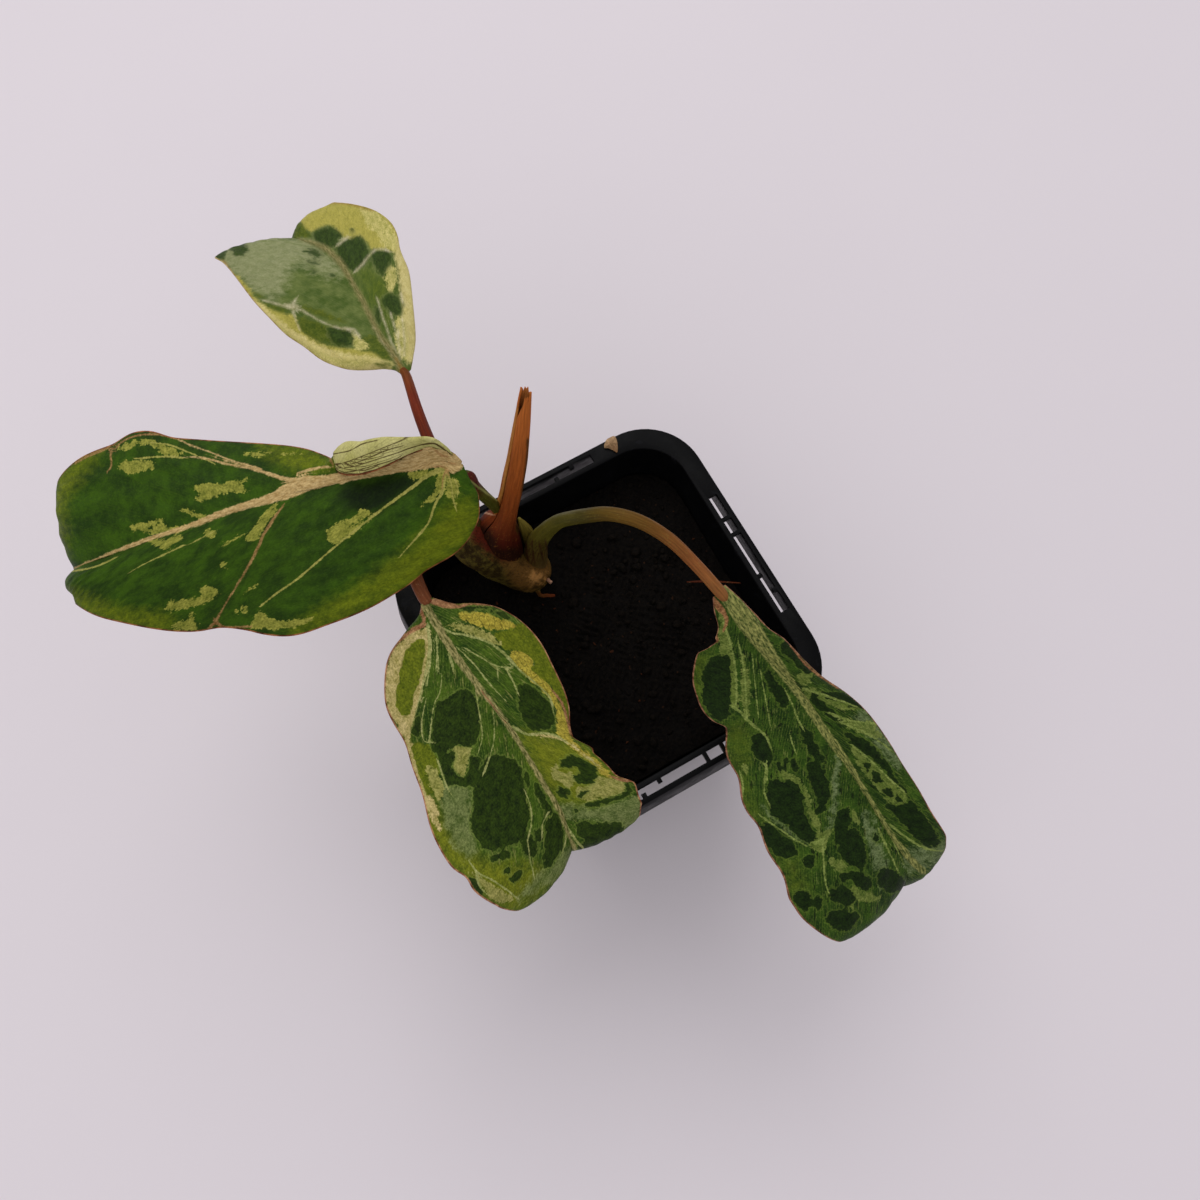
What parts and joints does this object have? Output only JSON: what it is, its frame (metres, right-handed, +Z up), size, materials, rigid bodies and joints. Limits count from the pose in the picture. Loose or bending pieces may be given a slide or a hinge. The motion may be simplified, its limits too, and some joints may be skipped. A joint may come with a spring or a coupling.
{
  "type": "potted snow leopard philodendron",
  "caption": "Young philodendron with marbled heart-shaped leaves on arching stalks, rooted in soil in a square nursery pot.",
  "frame": {"origin": "middle of the pot's base, on the surface it stands on", "axes": "+Z up, X and Y along the sides of the pot; the back leaf points to +Y and the left leaf to -X"},
  "size_m": [0.1219, 0.1871, 0.1202],
  "materials": {
    "pot_plastic": "satin",
    "soil": "matte",
    "cane": "satin",
    "dry_sheath": "matte",
    "green_stalk": "satin",
    "red_stalk": "satin",
    "leaf_pale": "satin",
    "leaf_dark": "satin",
    "leaf_marbled": "satin",
    "dry_husk": "matte"
  },
  "bodies": {
    "root": {"pot": "pot_plastic", "soil": "soil", "cane": "cane", "old_sheath": "dry_sheath", "bud_scale": "green_stalk", "petiole_back": "red_stalk", "petiole_left": "green_stalk", "petiole_front": "red_stalk", "petiole_right": "green_stalk", "blade_back": "leaf_pale", "blade_left": "leaf_dark", "blade_front": "leaf_marbled", "blade_right": "leaf_dark", "dry_husk": "dry_husk"}
  },
  "joints": []
}
